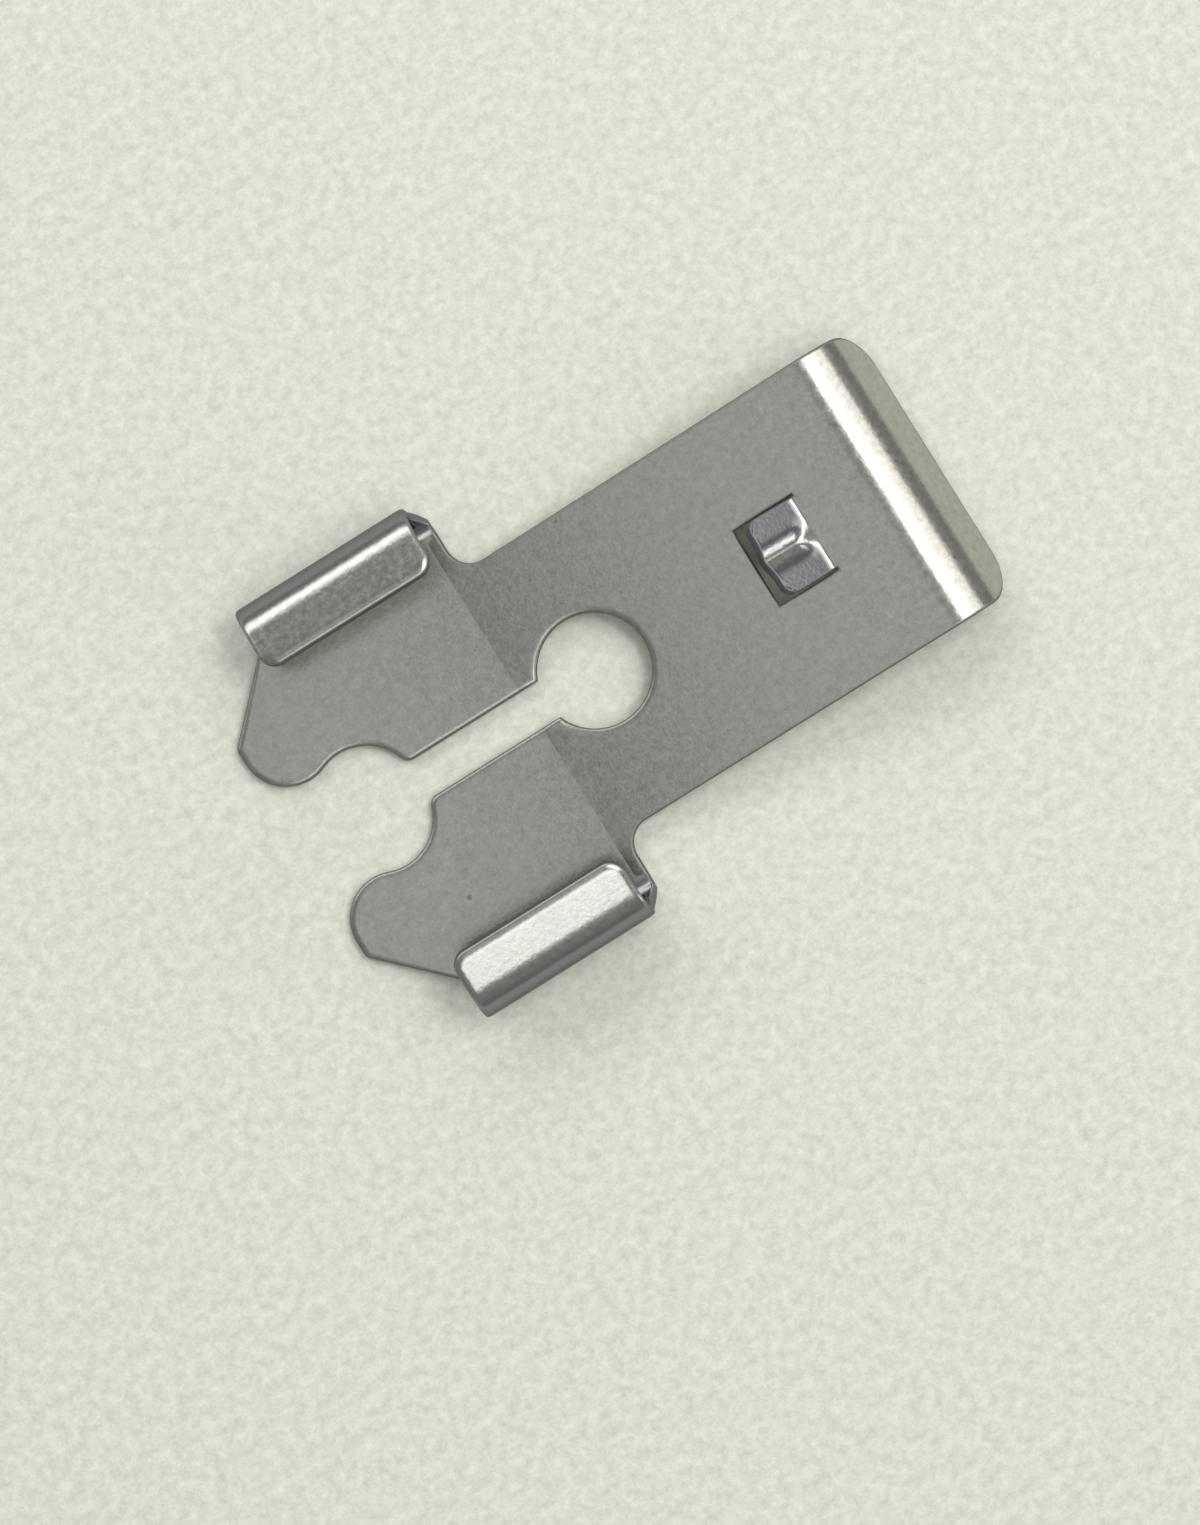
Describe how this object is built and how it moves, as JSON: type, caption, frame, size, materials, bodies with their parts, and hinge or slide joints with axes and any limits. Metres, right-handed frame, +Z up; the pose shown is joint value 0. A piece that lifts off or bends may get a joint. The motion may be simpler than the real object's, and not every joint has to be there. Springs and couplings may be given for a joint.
{
  "type": "retaining clip",
  "caption": "Folded spring steel clip with a keyhole slot, hooked side ears, a bent foot and a locking tongue; it slides under the head of a stud.",
  "frame": {"origin": "middle of the clip's length and width, on the surface that its legs lie on", "axes": "+X along the clip from the tips of its legs to its foot, +Y across it towards one ear, +Z up"},
  "size_m": [0.0308, 0.0196, 0.0037],
  "materials": {
    "spring_steel": "plain tempered spring steel, dull grey with a fine even mottle, punched edges rolled and bright"
  },
  "bodies": {
    "root": {"retaining_clip": "spring_steel"}
  },
  "joints": []
}
